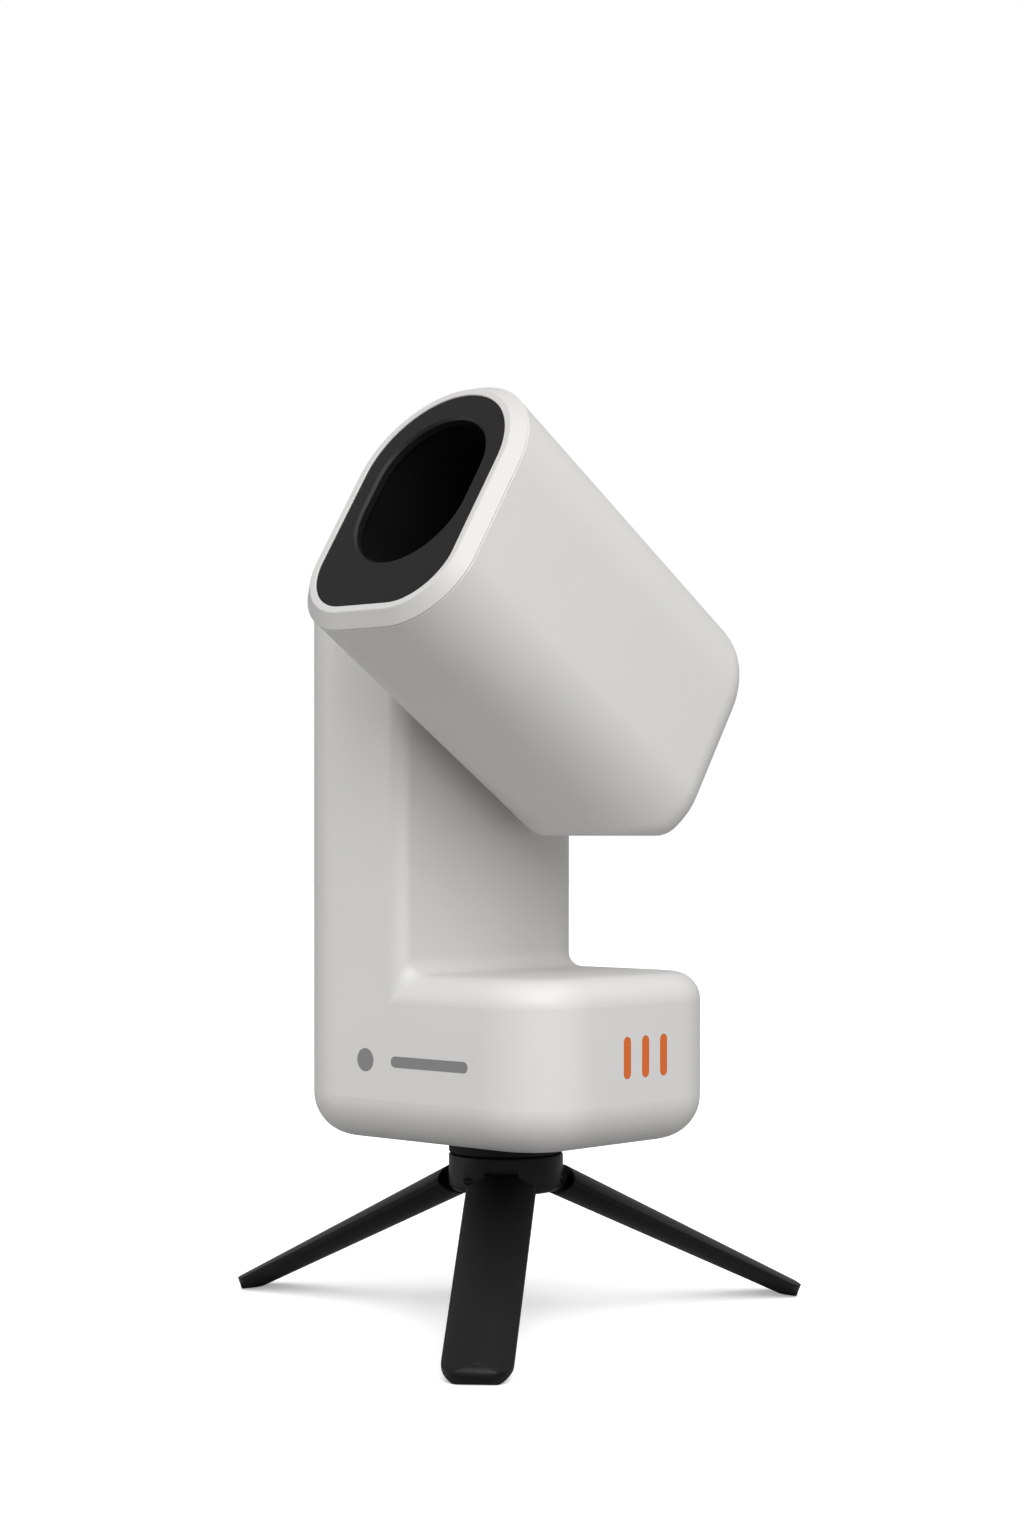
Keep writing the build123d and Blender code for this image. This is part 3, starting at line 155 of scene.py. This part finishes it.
def raised(tree, shader, factor, strength, depth):
    """Fine relief on the surface."""
    relief = tree.nodes.new("ShaderNodeBump")
    relief.inputs["Strength"].default_value = strength
    relief.inputs["Distance"].default_value = depth
    tree.links.new(factor, relief.inputs["Height"])
    tree.links.new(relief.outputs["Normal"], shader.inputs["Normal"])


def surface(name, colour, rough, grain, bump=0.05, vary=0.03, swing=0.05, depth=0.0002,
            stretch=None, **sockets):
    """Drifting colour, uneven gloss and a fine grain; sockets set the shader's own values."""
    material = bpy.data.materials.new(name)
    material.use_nodes = True
    tree = material.node_tree
    shader = tree.nodes["Principled BSDF"]
    place = tree.nodes.new("ShaderNodeTexCoord").outputs["Object"]
    if stretch:
        mapping = tree.nodes.new("ShaderNodeMapping")
        mapping.inputs["Scale"].default_value = stretch
        tree.links.new(place, mapping.inputs["Vector"])
        place = mapping.outputs["Vector"]
    broad = noise(tree, place, DRIFT_SCALE, DRIFT_DETAIL)
    fine = noise(tree, place, grain, GRAIN_DETAIL)
    tree.links.new(shade_of(tree, broad, colour, vary), shader.inputs["Base Color"])
    tree.links.new(spread(tree, fine, rough - swing, rough + swing), shader.inputs["Roughness"])
    raised(tree, shader, fine, bump, depth)
    for socket, value in sockets.items():
        shader.inputs[socket.replace("_", " ")].default_value = value
    return material


TRACKS_SCALE, TRACK_WIDTH = 260, 0.04
MASK_DARK = 0.8                        # every other field between the tracks
TRACK_GAIN, TRACK_LIFT = 1.6, 0.02     # the tracks are a little paler than the mask


def board_surface(name, colour):
    """Solder mask over faint copper tracks."""
    material = surface(name, colour, rough=0.3, grain=400, bump=0.1)
    tree = material.node_tree
    shader = tree.nodes["Principled BSDF"]
    place = tree.nodes.new("ShaderNodeTexCoord").outputs["Object"]
    bricks = tree.nodes.new("ShaderNodeTexBrick")
    bricks.inputs["Scale"].default_value = TRACKS_SCALE
    bricks.inputs["Mortar Size"].default_value = TRACK_WIDTH
    bricks.inputs["Color1"].default_value = (*colour, 1)
    bricks.inputs["Color2"].default_value = (*[c * MASK_DARK for c in colour], 1)
    tracks = [min(1, c * TRACK_GAIN + TRACK_LIFT) for c in colour]
    bricks.inputs["Mortar"].default_value = (*tracks, 1)
    tree.links.new(place, bricks.inputs["Vector"])
    tree.links.new(bricks.outputs["Color"], shader.inputs["Base Color"])
    return material


WHITE_TONE = (0.60, 0.596, 0.588)
# The bezel is the same white plastic as the shell; this darker copy is painted shade, toning down the extra
# light the bezel catches.
BEZEL_SHADED_TONE = (0.515, 0.512, 0.505)
MOULDED = dict(grain=1500, bump=0.04, vary=0.012)
POLISHED = dict(rough=0.06, grain=60, bump=0, swing=0.01)
looks = {
    "body_white": dict(colour=WHITE_TONE, rough=0.44, **MOULDED),
    "tube_white": dict(colour=WHITE_TONE, rough=0.42, **MOULDED),
    "bezel_shaded_white": dict(colour=BEZEL_SHADED_TONE, rough=0.42, **MOULDED),
    "button_grey": dict(colour=(0.32, 0.32, 0.32), rough=0.4, grain=1300, bump=0.04),
    "plate_black": dict(colour=(0.0075, 0.0073, 0.0072), rough=0.46, grain=1500, bump=0.08,
                        vary=0.05, Specular_IOR_Level=0.22),
    "shield_black": dict(colour=(0.002, 0.002, 0.002), rough=0.9, grain=1200, bump=0.2,
                         Specular_IOR_Level=0.1),
    "cell_black": dict(colour=(0.006, 0.006, 0.006), rough=0.6, grain=900, bump=0.1,
                       Specular_IOR_Level=0.25),
    "lens_glass": dict(colour=(0.02, 0.025, 0.035), **POLISHED, Coat_Weight=1.0,
                       Coat_Roughness=0.02, Coat_Tint=(0.35, 0.5, 0.75, 1)),
    "filter_glass": dict(colour=(0.25, 0.35, 0.6), **POLISHED, Transmission_Weight=0.6),
    "leg_black": dict(colour=(0.0028, 0.0027, 0.0026), rough=0.42, grain=1500, bump=0.1,
                      vary=0.1, Specular_IOR_Level=0.22),
    "rubber_black": dict(colour=(0.005, 0.005, 0.0048), rough=0.72, grain=1100, bump=0.2,
                         vary=0.1, Specular_IOR_Level=0.3),
    "steel": dict(colour=(0.5, 0.5, 0.51), rough=0.32, grain=900, Metallic=1.0),
    "pin_steel": dict(colour=(0.03, 0.03, 0.032), rough=0.45, grain=900, Metallic=0.8),
    "motor_steel": dict(colour=(0.46, 0.46, 0.47), rough=0.36, grain=400, stretch=(1, 1, 8),
                        Metallic=1.0),
    "brass": dict(colour=(0.72, 0.52, 0.2), rough=0.3, grain=700, Metallic=1.0),
    "gear_nylon": dict(colour=(0.7, 0.68, 0.6), rough=0.5, grain=900, bump=0.1),
    "aluminium": dict(colour=(0.62, 0.63, 0.64), rough=0.38, grain=600, stretch=(6, 1, 1),
                      Metallic=1.0),
    "turret_black": dict(colour=(0.02, 0.02, 0.02), rough=0.5, grain=1000, bump=0.1),
    "battery_wrap": dict(colour=(0.04, 0.17, 0.34), rough=0.28, grain=500, bump=0.06,
                         Coat_Weight=0.5),
    "port_metal": dict(colour=(0.55, 0.55, 0.56), rough=0.3, grain=800, Metallic=1.0),
    "sensor_dark": dict(colour=(0.02, 0.02, 0.035), rough=0.12, grain=300, bump=0, swing=0.02,
                        Coat_Weight=1.0),
    "light_clear": dict(colour=(0.75, 0.75, 0.72), rough=0.35, grain=700,
                        Transmission_Weight=0.3),
    "mark_grey": dict(colour=(0.185, 0.185, 0.185), rough=0.42, grain=1500),
    "mark_orange": dict(colour=(0.6, 0.12, 0.012), rough=0.42, grain=1500),
}
finish = {name: surface(name, **look) for name, look in looks.items()}
finish["board_green"] = board_surface("board_green", (0.02, 0.16, 0.07))

slots = {part["node"]: part["material_slot"] for part in frame["record"]["subparts"]}
slots["leg_pins"] = "pin_steel"         # blackened, unlike the inner steel
slots["front_bezel"] = "bezel_shaded_white"    # painted shade: the shell's white, made darker on the bezel
for name, node in nodes.items():
    node.data.materials.clear()
    node.data.materials.append(finish[slots[name]])

# ---------------------------------------------------------------- softened edges
EDGE_ANGLE = radians(28)               # only edges sharper than this are rounded
WELD_DISTANCE = 0.000002
LEG_EDGE, PAD_EDGE = 0.0004, 0.0003
EDGE_STEPS = 3


def soften(name, width):
    """Joins the mesh and rounds its sharp edges a little."""
    node = nodes[name]
    weld = node.modifiers.new("weld", "WELD")
    weld.merge_threshold = WELD_DISTANCE
    bevel = node.modifiers.new("bevel", "BEVEL")
    bevel.width = width
    bevel.segments = EDGE_STEPS
    bevel.limit_method = "ANGLE"
    bevel.angle_limit = EDGE_ANGLE
    bevel.harden_normals = True


for name in ("leg_front", "leg_rear", "leg_left", "tripod_hub"):
    soften(name, LEG_EDGE)
for name in ("foot_pad_front", "foot_pad_rear", "foot_pad_left"):
    soften(name, PAD_EDGE)
